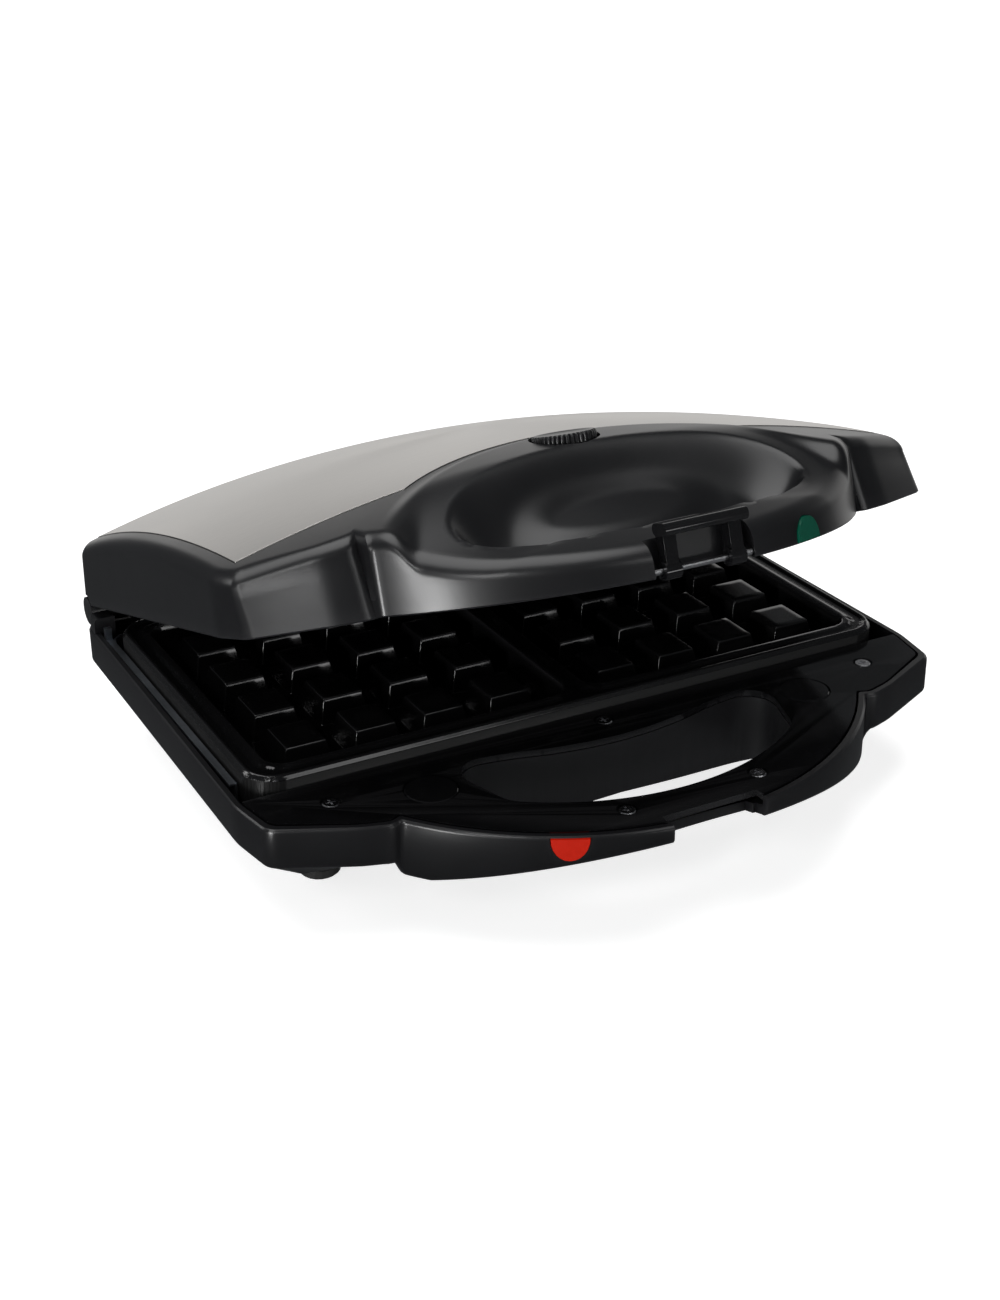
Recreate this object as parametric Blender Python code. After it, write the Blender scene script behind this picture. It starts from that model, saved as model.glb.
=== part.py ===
"""Two-slice waffle maker with its lid ajar: a hollow base and a hollow lid on two rear hinge pins.

+Z is up, the handles point to -Y, and the origin is on the table under the middle of the object.
Sizes are in millimetres and become metres when a mesh is made. The lid is modelled closed and hangs
on an empty at the hinge, which holds it ajar.
"""

from math import acos, asin, atan2, cos, hypot, pi, radians, sin, sqrt

import bmesh
import bpy
from mathutils import Matrix, Vector

MM = 0.001
GAP = 0.3
WALL = 2.5

# Heights above the table.
FOOT_HEIGHT = 4.0
FLOOR_Z = 4.3
BASE_RIM_Z = 41.5
PARTING_Z = 46.5
LID_RIM_Z = 48.0
LEAN_HEIGHT = 20.0

# Plan: the mid-point between the front and the rear of the whole object is at y = 0.
HANDLE_Y = -12.0
HANDLE_R = 109.3
HALF_WIDTH = 130.0
BASE_REAR_Y = 111.9
SHOULDER_Y = -78.0
LID_INSET = 1.8
LID_REAR_Y = 119.0
CENTRE_Y = 3.0

# Hinge, latch and lid angle.
HINGE_Y = 110.4
HINGE_Z = 46.1
LID_AJAR = radians(17.86)
KNUCKLE_R = 5.2
KNUCKLE_X = 115.4
EAR_X = 123.5
PIN_R = 2.0
PIN_BORE_R = 2.2
PIN_X = 118.0

# Cord gland in the rear wall.
GLAND_X = 70.0
GLAND_Z = 32.0
LATCH_Y = -116.0
LATCH_Z = 49.6

# Cooking plates.
PLATE_HALF_X = 122.3
PLATE_FRONT_Y = -42.0
PLATE_REAR_Y = 94.5
PLATE_DEPTH = 12.7
RIM_GAP = 0.3
PIP_STEP_X = 25.0
PIP_STEP_Y = 26.9
PIP_X = 13.8
PIP_Y = 15.8
PIP_TAPER = 1.3
PIP_DROP = 1.2
FIRST_PIP_Y = -14.1
FIELD_X = 58.6
FIELD_HALF = (54.5, 60.0)
FIELD_Y = 26.5
FLOOR_BELOW_RIM = 10.7

# Lid top.
CROWN_SIDE = 74.3
CROWN_RISE = 18.0
CROWN_HALF = 126.0
CROWN_TOP_Y = 40.0
CROWN_FALL = 1150.0
RING_Y = -125.5
RING_R = 98.0
RING_RISE = 1.6
SCOOP_Y = -84.0
SCOOP_HALF_X = 68.0
SCOOP_FRONT = 19.0
SCOOP_REAR = 40.0
SCOOP_DEPTH = 14.0
SCOOP_WALL = 0.5
PAD_X = 1.0
PAD_Y = -61.0

# Lamp windows: middle across the handle, height of the straight edge, half width, round side's stretch.
RED_X = -48.0
RED_Z = 40.9
GREEN_X = 42.0
GREEN_Z = 48.4
WINDOW_HALF = 6.0
WINDOW_STRETCH = 1.25

# Thermostat wheel.
DIAL_Y = -41.5
DIAL_Z = 87.0
DIAL_R = 10.8

LOFTED = ("base_housing", "base_hollow", "lid_housing")

for old in list(bpy.data.objects):
    bpy.data.objects.remove(old, do_unlink=True)


def new_collection(name):
    made = bpy.data.collections.new(name)
    bpy.context.scene.collection.children.link(made)
    return made


PARTS = new_collection("waffle_maker")
CUTTERS = new_collection("cutters")
CUTTERS.hide_render = True


def new_material(name, colour, roughness, metallic=0.0):
    made = bpy.data.materials.new(name)
    made.use_nodes = True
    shader = made.node_tree.nodes["Principled BSDF"]
    shader.inputs["Base Color"].default_value = (*colour, 1.0)
    shader.inputs["Roughness"].default_value = roughness
    shader.inputs["Metallic"].default_value = metallic
    made.diffuse_color = (*colour, 1.0)
    return made


SATIN_BLACK = ((0.018, 0.018, 0.02), 0.38)
GLOSS_BLACK = ((0.008, 0.008, 0.009), 0.08)
COATED = ((0.02, 0.02, 0.021), 0.3)
STAINLESS = ((0.5, 0.49, 0.47), 0.32, 1.0)
BRIGHT_SHEET = ((0.55, 0.57, 0.6), 0.35, 1.0)
STEEL = ((0.45, 0.45, 0.46), 0.25, 1.0)
RUBBER = ((0.02, 0.02, 0.02), 0.8)
CERAMIC = ((0.7, 0.68, 0.62), 0.5)
RED_WINDOW = ((0.55, 0.02, 0.005), 0.2)
GREEN_WINDOW = ((0.01, 0.2, 0.1), 0.2)


# ---------------------------------------------------------------- building helpers

def to_object(bm, name, collection=PARTS):
    """A mesh object from a bmesh in millimetres, with outward normals."""
    bmesh.ops.remove_doubles(bm, verts=bm.verts, dist=1e-5)
    bmesh.ops.recalc_face_normals(bm, faces=bm.faces)
    bmesh.ops.scale(bm, vec=(MM, MM, MM), verts=bm.verts)
    mesh = bpy.data.meshes.new(name)
    bm.to_mesh(mesh)
    bm.free()
    made = bpy.data.objects.new(name, mesh)
    collection.objects.link(made)
    if collection is CUTTERS:
        made.hide_render = True
        made.display_type = "WIRE"
    return made


def ring_body(rings, name, collection=PARTS):
    """A closed body lofted through rings with the same number of points, its two ends filled."""
    bm = bmesh.new()
    loops = [[bm.verts.new(p) for p in ring] for ring in rings]
    count = len(loops[0])
    for low, high in zip(loops, loops[1:]):
        for i in range(count):
            j = (i + 1) % count
            bm.faces.new((low[i], low[j], high[j], high[i]))
    for loop in (loops[0], loops[-1]):
        middle = sum((v.co for v in loop), Vector()) / count
        hub = bm.verts.new(middle)
        for i in range(count):
            bm.faces.new((loop[i], loop[(i + 1) % count], hub))
    return to_object(bm, name, collection)


def slab(outline, z_low, z_high, name, collection=PARTS):
    """A flat outline (x, y) extruded between two heights."""
    bm = bmesh.new()
    face = bm.faces.new([bm.verts.new((x, y, z_low)) for x, y in outline])
    grown = bmesh.ops.extrude_face_region(bm, geom=[face])
    top = [item for item in grown["geom"] if isinstance(item, bmesh.types.BMVert)]
    bmesh.ops.translate(bm, verts=top, vec=(0, 0, z_high - z_low))
    return to_object(bm, name, collection)


def box(low, high, name, collection=CUTTERS, bevel=0.0):
    bm = bmesh.new()
    bmesh.ops.create_cube(bm, size=1.0)
    size = Vector(high) - Vector(low)
    bmesh.ops.scale(bm, vec=size, verts=bm.verts)
    bmesh.ops.translate(bm, vec=(Vector(high) + Vector(low)) / 2, verts=bm.verts)
    if bevel:
        bmesh.ops.bevel(bm, geom=bm.edges[:], offset=bevel, segments=2, affect="EDGES", profile=0.5)
    return to_object(bm, name, collection)


def cylinder(centre, radius, length, axis, name, collection=CUTTERS, segments=32, bevel=0.0):
    """A cylinder with its middle at centre, along "X", "Y" or "Z"."""
    bm = bmesh.new()
    bmesh.ops.create_cone(
        bm, cap_ends=True, segments=segments, radius1=radius, radius2=radius, depth=length)
    if bevel:
        rims = [e for e in bm.edges if abs(e.verts[0].co.z - e.verts[1].co.z) < 1e-6]
        bmesh.ops.bevel(bm, geom=rims, offset=bevel, segments=1, affect="EDGES", profile=0.5)
    turns = {
        "X": Matrix.Rotation(pi / 2, 3, "Y"),
        "Y": Matrix.Rotation(pi / 2, 3, "X"),
        "Z": Matrix.Identity(3),
    }
    bmesh.ops.rotate(bm, cent=(0, 0, 0), matrix=turns[axis], verts=bm.verts)
    bmesh.ops.translate(bm, vec=centre, verts=bm.verts)
    return to_object(bm, name, collection)


def combine(target, other, operation):
    """Applies one Boolean to the target's mesh and removes the other object.

    EXACT drops the lofted shells whole, so those use MANIFOLD.
    """
    step = target.modifiers.new(operation.lower(), "BOOLEAN")
    step.operation = operation
    step.solver = "MANIFOLD" if target.name in LOFTED else "EXACT"
    step.object = other
    graph = bpy.context.evaluated_depsgraph_get()
    graph.update()
    mesh = bpy.data.meshes.new_from_object(target.evaluated_get(graph))
    target.modifiers.clear()
    target.data = mesh
    bpy.data.objects.remove(other, do_unlink=True)


def cut(target, *others):
    for other in others:
        combine(target, other, "DIFFERENCE")


def join(target, *others):
    for other in others:
        combine(target, other, "UNION")


def finish(made, look, parent=None, flat=False):
    """Gives a part its own material and hangs it on its pivot empty."""
    made.data.materials.clear()
    made.data.materials.append(new_material(made.name, *look))
    for face in made.data.polygons:
        face.use_smooth = not flat
    if not flat:
        made.data.set_sharp_from_angle(angle=radians(32))
    if parent:
        made.parent = parent
        made.matrix_parent_inverse = Matrix.Translation(parent["closed_at"]).inverted()
    return made


def pivot(name, centre, parent=None):
    """An empty on a joint's axis, placed as it stands with the lid closed."""
    made = bpy.data.objects.new(name, None)
    PARTS.objects.link(made)
    made.empty_display_size = 0.01
    at = Vector(centre) * MM
    made["closed_at"] = at
    made.location = at
    if parent:
        made.parent = parent
        made.location = at - Vector(parent["closed_at"])
    return made


# ---------------------------------------------------------------- outlines

def arc(centre, radius, start, end, steps):
    """Points of an arc, angles in degrees counter-clockwise."""
    angles = [radians(start + (end - start) * i / steps) for i in range(steps + 1)]
    return [(centre[0] + radius * cos(a), centre[1] + radius * sin(a)) for a in angles]


def both_sides(right):
    """A closed outline from its right half, given from the front to the rear."""
    left = [(-x, y) for x, y in reversed(right) if abs(x) > 1e-6]
    return right + left


def shell_outline(inset, rear_y):
    """Plan of the base or the lid: round handle, stepped shoulders, straight sides and rear."""
    reach = HANDLE_R - inset
    foot_x = 88.5 - 0.4 * inset
    foot_angle = -90 + 180 / pi * acos(sqrt(reach * reach - foot_x * foot_x) / reach)
    points = arc((0, HANDLE_Y), reach, -90, foot_angle, 18)
    points.append((91.0 - 0.4 * inset, SHOULDER_Y + inset - 0.3))
    points.append((100.5, SHOULDER_Y + 2.8 + inset))
    corner = max(6.5 - 0.4 * inset, 1.5)
    points += arc((127.6 - inset - corner, -65.0 + 1.05 * inset + corner), corner, -66, -8, 6)
    points.append((HALF_WIDTH - inset, -44.0))
    points.append((HALF_WIDTH - 0.5 - inset, 0.0))
    points.append((HALF_WIDTH - 1.0 - inset, 48.0))
    corner = max(6.0 - 0.5 * inset, 0.8)
    points += arc((HALF_WIDTH - 1.5 - inset - corner, rear_y - 1.2 - inset - corner), corner, 0, 84, 6)
    points.append((60.0, rear_y - 0.3 - inset))
    points.append((0.0, rear_y - inset))
    return both_sides(points)


def radius_to(outline, angle):
    """Distance from the plan's centre to the outline in one direction."""
    dx, dy = cos(angle), sin(angle)
    best = 0.0
    for (ax, ay), (bx, by) in zip(outline, outline[1:] + outline[:1]):
        ay, by = ay - CENTRE_Y, by - CENTRE_Y
        ex, ey = bx - ax, by - ay
        cross = dx * ey - dy * ex
        if abs(cross) < 1e-9:
            continue
        along = (ax * ey - ay * ex) / cross
        share = (ax * dy - ay * dx) / cross
        if along > 0 and -1e-9 <= share <= 1 + 1e-9:
            best = max(best, along)
    return best


def raised(outline, height):
    """A loft ring from an outline. height is a number or a function of x and y."""
    return [(x, y, height(x, y) if callable(height) else height) for x, y in outline]


def seen_from_centre(outline, like):
    """The outline again, with one point in the direction of each point of another outline."""
    points = []
    for x, y in like:
        angle = atan2(y - CENTRE_Y, x)
        r = radius_to(outline, angle)
        points.append((r * cos(angle), CENTRE_Y + r * sin(angle)))
    return points


def towards_centre(outline, share):
    return [(x * share, CENTRE_Y + (y - CENTRE_Y) * share) for x, y in outline]


def hand_outline(grow):
    """Plan of the hand opening behind the base handle."""
    front = arc((0, -13.0), 87.5 + grow, -90, -52, 10)
    end = arc((50.0, -62.5), 9.5 + grow, -30, 95, 5)
    rear = [(38.0, -55.0 + grow), (25.0, -58.5 + grow), (12.0, -60.6 + grow), (0.0, -61.3 + grow)]
    return both_sides(front + end + rear)


# ---------------------------------------------------------------- shells

def underside_z(x, y):
    """Height of the base wall's lower edge: an arch along the handle, level elsewhere."""
    if y > 0:
        return 28.0
    arch = max(36.4 - 15.0 * (x / 84.0) ** 2, 22.2)
    return arch + (28.0 - arch) * smooth((abs(x) - 87.0) / 4.0)


def crown_z(x, y):
    across = 1 - (x / CROWN_HALF) ** 2
    return CROWN_SIDE + CROWN_RISE * across - (y - CROWN_TOP_Y) ** 2 / CROWN_FALL


def smooth(t):
    t = min(max(t, 0.0), 1.0)
    return t * t * (3 - 2 * t)


def lid_top_z(x, y):
    """Top of the closed lid: a shallow crown, the raised ring over the handle and its hand scoop."""
    z = crown_z(x, y)
    inside = RING_R - hypot(x, y - RING_Y)
    if inside <= 0:
        return z
    z += RING_RISE * smooth(inside / 7.0)
    z -= 12.8 * smooth((-52.0 - y) / 50.0) * smooth(inside / 12.0)
    z -= 0.13 * max(0.0, -102.0 - y)
    reach = SCOOP_FRONT if y < SCOOP_Y else SCOOP_REAR
    out = hypot(x / SCOOP_HALF_X, (y - SCOOP_Y) / reach)
    pad = 1 - hypot((x - PAD_X) / 38.0, (y - PAD_Y) / 17.0)
    return z - SCOOP_DEPTH * smooth((1 - out) / SCOOP_WALL) + 3.5 * smooth(pad / 0.6)


def base_housing():
    """Lower shell: bellied pan with a walled hand opening, hinge ears and a cord hole."""
    outline = shell_outline(0.0, BASE_REAR_Y)
    neck = both_sides([(0, -62), (70, -66), (114, -58), (121, -50), (121, 98), (110, 107), (0, 107)])
    belly = both_sides([(0, -36), (90, -36), (106, -24), (106, 82), (92, 95), (0, 95)])
    neck = seen_from_centre(neck, outline)
    belly = seen_from_centre(belly, outline)

    def neck_z(x, y):
        return min(underside_z(x, y), 24.0) - 4.0

    outer = ring_body([
        raised(belly, FLOOR_Z),
        raised(neck, neck_z),
        raised(shell_outline(2.0, BASE_REAR_Y), lambda x, y: underside_z(x, y) - 1.0),
        raised(outline, lambda x, y: underside_z(x, y) + 1.2),
        raised(outline, BASE_RIM_Z - 0.8),
        raised(shell_outline(0.8, BASE_REAR_Y), BASE_RIM_Z),
    ], "base_housing")
    inner_outline = shell_outline(WALL, BASE_REAR_Y)
    hollow = ring_body([
        raised(towards_centre(belly, 0.97), FLOOR_Z + WALL),
        raised(towards_centre(neck, 0.97), lambda x, y: neck_z(x, y) + WALL),
        raised(inner_outline, lambda x, y: underside_z(x, y) + WALL),
        raised(inner_outline, BASE_RIM_Z + 2.0),
    ], "base_hollow", CUTTERS)
    cut(hollow, slab(hand_outline(WALL), 0.0, 39.0, "hand_collar", CUTTERS))
    cut(outer, hollow, slab(hand_outline(0.0), -5.0, 60.0, "hand_hole", CUTTERS))
    for side in (-1, 1):
        ear = cylinder((side * EAR_X, HINGE_Y, HINGE_Z), KNUCKLE_R, 6.6, "X", "ear", segments=24)
        join(outer, hinge_shoulder(side), ear)
        notch_low, notch_high = sorted((side * 111.0, side * 119.7))
        room_floor = HINGE_Z - KNUCKLE_R - GAP
        room_low = (notch_low, HINGE_Y - 8.0, room_floor)
        cut(outer, box(room_low, (notch_high, HINGE_Y + 10.0, 60.0), "knuckle_room"))
        bore_middle = (side * 120.0, HINGE_Y, HINGE_Z)
        cut(outer, cylinder(bore_middle, PIN_BORE_R, 12.0, "X", "pin_room", segments=20))
    cut(outer, box((-17.0, -130.0, 20.0), (17.0, -113.8, 60.0), "latch_recess"))
    cut(outer, box((-16.0, -130.0, 20.0), (16.0, -109.7, 39.2), "hook_room"))
    cut(outer, cylinder((GLAND_X, BASE_REAR_Y, GLAND_Z), 5.3, 20.0, "Y", "cord_hole", segments=24))
    cut(outer, lamp_window("red_room", RED_X, RED_Z, -1, HANDLE_R, GAP, CUTTERS))
    return finish(outer, SATIN_BLACK)


def hinge_shoulder(side):
    """Raised block in a rear corner of the base, which carries the hinge ear."""
    block = slab(shell_outline(0.5, BASE_REAR_Y - 0.3), 36.0, 47.2, "hinge_shoulder", CUTTERS)
    x_low, x_high = sorted((-side * 140.0, side * 120.2))
    cut(block, box((x_low, -140.0, 20.0), (x_high, 140.0, 60.0), "middle"))
    cut(block, box((-140.0, -140.0, 20.0), (140.0, HINGE_Y - 11.4, 60.0), "front"))
    return block


def lamp_window(name, x, z_flat, way, reach, grow=0.0, collection=PARTS):
    """Half-round lamp window in a handle's front wall; way is -1 when its round side is down."""
    radius = WINDOW_HALF
    depth = 3.2 if collection is PARTS else 8.0
    stand_out = 0.4 if collection is PARTS else 2.0
    profile = [(-(radius + grow), -way * grow), (radius + grow, -way * grow)]
    for i in range(13):
        a = i * pi / 12
        profile.append(((radius + grow) * cos(a), way * (radius * WINDOW_STRETCH + grow) * sin(a)))
    if grow == 0.0:
        profile = profile[2:]
    bm = bmesh.new()
    face = bm.faces.new([bm.verts.new((dx, 0, dz)) for dx, dz in profile])
    grown = bmesh.ops.extrude_face_region(bm, geom=[face])
    back = [item for item in grown["geom"] if isinstance(item, bmesh.types.BMVert)]
    bmesh.ops.translate(bm, verts=back, vec=(0, depth, 0))
    bmesh.ops.translate(bm, verts=bm.verts, vec=(0, -reach - stand_out, 0))
    turn = Matrix.Rotation(asin(x / reach), 3, "Z")
    bmesh.ops.rotate(bm, cent=(0, 0, 0), matrix=turn, verts=bm.verts)
    bmesh.ops.translate(bm, verts=bm.verts, vec=(0, HANDLE_Y, z_flat))
    return to_object(bm, name, collection)


def lid_lean(x, y):
    """How far the lid's wall leans inwards over LEAN_HEIGHT, across and along."""
    if y < SHOULDER_Y + 3.5 and abs(x) < 89.0:
        return 0.4, 0.4
    return 0.8, 0.8 + 6.7 * smooth((y - 96.0) / 8.0) + 6.2 * smooth((-46.0 - y) / 14.0)


def lid_housing(parent):
    """Upper shell, lofted in rings from the outer rim over the crown and back down inside."""
    upright = shell_outline(LID_INSET, LID_REAR_Y)
    leaning = shell_outline(LID_INSET + 8.0, LID_REAR_Y)

    def wall_at(z, inward=0.0):
        ring = []
        for (ax, ay), (bx, by) in zip(upright, leaning):
            lean_x, lean_y = lid_lean(ax, ay)
            share = (z - LID_RIM_Z) / LEAN_HEIGHT
            x = ax + (bx - ax) * (lean_x * share + inward) / 8.0
            ring.append((x, ay + (by - ay) * (lean_y * share + inward) / 8.0))
        return ring

    brim_z = LID_RIM_Z + 17.0
    rounding = 4.5
    outer_rings = [raised(wall_at(LID_RIM_Z), LID_RIM_Z)]
    for inward, share in ((0.0, 1.0), (0.6, 0.5), (1.9, 0.18), (rounding, 0.0)):
        drop = rounding * share
        outer_rings.append(raised(wall_at(brim_z, inward), lambda x, y: lid_top_z(x, y) - drop))
    top = wall_at(brim_z, rounding)
    shares = [0.97, 0.945, 0.92, 0.89, 0.86, 0.83, 0.80, 0.77, 0.73]
    shares += [0.69, 0.65, 0.61, 0.57, 0.53, 0.48, 0.42, 0.3, 0.15]
    outer_rings += [raised(towards_centre(top, s), lid_top_z) for s in shares]
    inner_rings = [
        raised(wall_at(LID_RIM_Z, WALL), LID_RIM_Z),
        raised(wall_at(brim_z, WALL), lambda x, y: lid_top_z(x, y) - rounding - WALL),
    ]
    inner_rings += [raised(towards_centre(top, s), lambda x, y: lid_top_z(x, y) - WALL) for s in shares]
    shell = ring_body(list(reversed(inner_rings)) + outer_rings, "lid_housing")
    for side in (-1, 1):
        middle = side * KNUCKLE_X
        knuckle = cylinder((middle, HINGE_Y, HINGE_Z), KNUCKLE_R, 7.6, "X", "knuckle", segments=24)
        x_low, x_high = sorted((middle - 3.4, middle + 3.4))
        web = box((x_low, HINGE_Y - 3.0, HINGE_Z), (x_high, HINGE_Y + 4.0, HINGE_Z + 13.0), "web")
        join(shell, knuckle, web)
        cut(shell, cylinder((middle, HINGE_Y, HINGE_Z), PIN_BORE_R, 12.0, "X", "pin_room", segments=20))
        ear_middle = (side * (EAR_X + 1.5), HINGE_Y, HINGE_Z)
        cut(shell, cylinder(ear_middle, KNUCKLE_R + 0.8, 10.8, "X", "ear_room", segments=24))
    join(shell, box((-19.0, -113.0, LID_RIM_Z + 0.1), (19.0, -110.4, 58.5), "latch_wall"))
    cut(shell, box((-17.6, -130.0, 40.0), (17.6, -112.4, 62.0), "latch_room"))
    cut(shell, cylinder((0, LATCH_Y, LATCH_Z), 1.2, 37.6, "X", "pin_bore", segments=16))
    cut(shell, lamp_window("green_room", GREEN_X, GREEN_Z, 1, HANDLE_R - LID_INSET, GAP, CUTTERS))
    cut(shell, cylinder((0, DIAL_Y, DIAL_Z - 1.0), DIAL_R + 1.0, 14.0, "Z", "dial_room", segments=40))
    cut(shell, inlay_body("inlay_bed", GAP, CUTTERS))
    return finish(shell, SATIN_BLACK, parent)


def inlay_body(name, grow, collection=PARTS):
    """Stainless sheet on the crown, its front cut round the ring and the dial."""
    low, high = (-0.4 - grow, 6.0) if collection is CUTTERS else (-0.4, 0.25)
    step_x, step_y = 12, 10
    half, rear, front = 119.5 + grow, 104.5 + grow, -46.5 - grow
    bm = bmesh.new()
    layers = []
    for offset in (low, high):
        rows = []
        for j in range(step_y + 1):
            y = front + (rear - front) * j / step_y
            xs = [half * (2 * i / step_x - 1) for i in range(step_x + 1)]
            rows.append([bm.verts.new((x, y, crown_z(x, y) + offset)) for x in xs])
        layers.append(rows)
    for rows in layers:
        for a, b in zip(rows, rows[1:]):
            for i in range(step_x):
                bm.faces.new((a[i], a[i + 1], b[i + 1], b[i]))
    rim_low, rim_high = [
        rows[0] + [r[-1] for r in rows[1:]] + rows[-1][-2::-1] + [r[0] for r in rows[-2:0:-1]]
        for rows in layers
    ]
    for i in range(len(rim_low)):
        j = (i + 1) % len(rim_low)
        bm.faces.new((rim_low[i], rim_low[j], rim_high[j], rim_high[i]))
    made = to_object(bm, name, collection)
    cut(made, cylinder((0, RING_Y, 80.0), RING_R + 1.8 - grow, 60.0, "Z", "ring_edge", segments=96))
    if collection is PARTS:
        cut(made, cylinder((0, DIAL_Y, DIAL_Z - 1.0), DIAL_R + 4.7, 20.0, "Z", "dial_edge", segments=40))
    return made


# ---------------------------------------------------------------- cooking unit

def rounded_rectangle(half_x, y_low, y_high, radius, steps=5, x_mid=0.0):
    corners = (
        (x_mid + half_x - radius, y_low + radius, -90),
        (x_mid + half_x - radius, y_high - radius, 0),
        (x_mid - half_x + radius, y_high - radius, 90),
        (x_mid - half_x + radius, y_low + radius, 180),
    )
    points = []
    for x, y, start in corners:
        points += arc((x, y), radius, start, start + 90, steps)
    return points


def rectangle(x, y, half_x, half_y):
    low_x, high_x, low_y, high_y = x - half_x, x + half_x, y - half_y, y + half_y
    return [(low_x, low_y), (high_x, low_y), (high_x, high_y), (low_x, high_y)]


def tapered(outline_low, outline_high, z_low, z_high, name, collection=CUTTERS):
    low = [(x, y, z_low) for x, y in outline_low]
    high = [(x, y, z_high) for x, y in outline_high]
    return ring_body([low, high], name, collection)


def waffle_plate(name, up, parent=None):
    """Cast plate with two fields of square pips. up is +1 for the lower plate, -1 for the lid's."""
    rim = PARTING_Z - up * RIM_GAP

    def z(below_rim):
        return rim - up * below_rim

    plate = slab(
        rounded_rectangle(PLATE_HALF_X, PLATE_FRONT_Y, PLATE_REAR_Y, 12.0),
        *sorted((z(0.0), z(PLATE_DEPTH))), name)
    for side in (-1, 1):
        x_mid = side * FIELD_X
        y_low, y_high = FIELD_Y - FIELD_HALF[1], FIELD_Y + FIELD_HALF[1]
        wide = rounded_rectangle(FIELD_HALF[0], y_low, y_high, 7.0, 4, x_mid)
        narrow = rounded_rectangle(FIELD_HALF[0] - 2.5, y_low + 2.5, y_high - 2.5, 5.0, 4, x_mid)
        cut(plate, tapered(narrow, wide, z(FLOOR_BELOW_RIM), z(-0.5), "field"))
        for column in range(4):
            for row in range(4):
                x = x_mid + (column - 1.5) * PIP_STEP_X
                y = FIRST_PIP_Y + row * PIP_STEP_Y
                foot = rectangle(x, y, PIP_X / 2 + PIP_TAPER, PIP_Y / 2 + PIP_TAPER)
                top = rectangle(x, y, PIP_X / 2, PIP_Y / 2)
                join(plate, tapered(foot, top, z(FLOOR_BELOW_RIM + 0.8), z(PIP_DROP), "pip"))
    return finish(plate, COATED, parent, flat=True)


def heater(name, z, parent=None):
    """Tubular element bent in a loop, with its two ends turned out to the rear."""
    x, front, rear, bend = 86.0, -22.0, 78.0, 16.0
    right = arc((x - bend, front + bend), bend, -90, 0, 4) + arc((x - bend, rear - bend), bend, 0, 90, 4)
    right = [(0.0, front)] + right + [(24.0, rear)]
    route = [(-px, py) for px, py in reversed(right[1:])] + right
    curve = bpy.data.curves.new(name, "CURVE")
    curve.dimensions = "3D"
    line = curve.splines.new("POLY")
    line.points.add(len(route) - 1)
    for point, (px, py) in zip(line.points, route):
        point.co = (px * MM, py * MM, z * MM, 1.0)
    curve.bevel_depth = 3.0 * MM
    curve.bevel_resolution = 2
    curve.use_fill_caps = True
    made = bpy.data.objects.new(name, curve)
    PARTS.objects.link(made)
    curve.materials.append(new_material(name, (0.2, 0.19, 0.18), 0.45, 1.0))
    if parent:
        made.parent = parent
        made.matrix_parent_inverse = Matrix.Translation(parent["closed_at"]).inverted()
    return made


def tray(name, up, z_floor, z_edge, wall_x):
    """Sheet-metal pan behind a plate; its side walls stand up beside the plate."""
    thick = 0.7

    def outline(inset):
        return rounded_rectangle(
            wall_x - inset, PLATE_FRONT_Y + 4.0 + inset, PLATE_REAR_Y + 2.0 - inset, 7.0 - 0.5 * inset, 3)

    def pan_rings(inset, floor, edge):
        shoulder = floor + up * 7.0
        wall = outline(inset)
        return [raised(outline(inset + 10.0), floor), raised(wall, shoulder), raised(wall, edge)]

    pan = ring_body(pan_rings(0.0, z_floor, z_edge), name)
    cut(pan, ring_body(pan_rings(thick, z_floor + up * thick, z_edge + up * 5.0), "pan_room", CUTTERS))
    front_z = sorted((PARTING_Z - up * (PLATE_DEPTH + 3.0), z_edge + up * 5.0))
    front_low = (-140, PLATE_FRONT_Y - 5, front_z[0])
    cut(pan, box(front_low, (140, PLATE_FRONT_Y + 12.0, front_z[1]), "front_room"))
    return pan


def lower_tray():
    pan = tray("lower_tray", 1, 25.2, 40.9, 124.0)
    for side in (-1, 1):
        x_low, x_high = sorted((side * 123.4, side * 125.8))
        join(pan, box((x_low, PLATE_FRONT_Y + 12.5, 40.2), (x_high, PLATE_REAR_Y + 1.0, 41.0), "flange"))
        join(pan, box((x_low, PLATE_REAR_Y - 1.0, 40.4), (x_high, PLATE_REAR_Y + 1.0, 45.0), "tab"))
    return finish(pan, BRIGHT_SHEET, flat=True)


# ---------------------------------------------------------------- panels and small parts

SCREW_PLACES = ((-102.5, -56.0), (102.5, -56.0), (0.0, -49.5), (-24.3, -104.0), (24.3, -104.0))
PAD_PLACES = ((-71.6, -63.8), (71.6, -63.8))
PAD_R = 8.6


def deck(name, inset, z_low, z_high, with_hand_hole, up):
    """Front cover plate of a shell, from the handle to the cooking plate's front edge."""
    plate = slab(shell_outline(inset, BASE_REAR_Y), z_low, z_high, name)
    cut(plate, box((-140, PLATE_FRONT_Y - 0.6, 0.0), (140, 140, 100.0), "rear_half"))
    for x, y in SCREW_PLACES:
        cut(plate, cylinder((x, y, z_high), 2.0, 12.0, "Z", "screw_hole", segments=16))
        cut(plate, cylinder((x, y, z_high if up > 0 else z_low), 3.4, 2.2, "Z", "head_room", segments=20))
    if with_hand_hole:
        cut(plate, slab(hand_outline(0.0), 0.0, 90.0, "hand_hole", CUTTERS))
        for x, y in PAD_PLACES:
            cut(plate, cylinder((x, y, z_high), PAD_R + 0.4, 2.6, "Z", "pad_room", segments=28))
    return plate


def base_panel():
    panel = deck("base_panel", WALL + 0.8, 39.4, 41.6, True, 1)
    cut(panel, box((-17.6, -130.0, 30.0), (17.6, -113.2, 60.0), "latch_recess"))
    return finish(panel, GLOSS_BLACK, flat=True)


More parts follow.
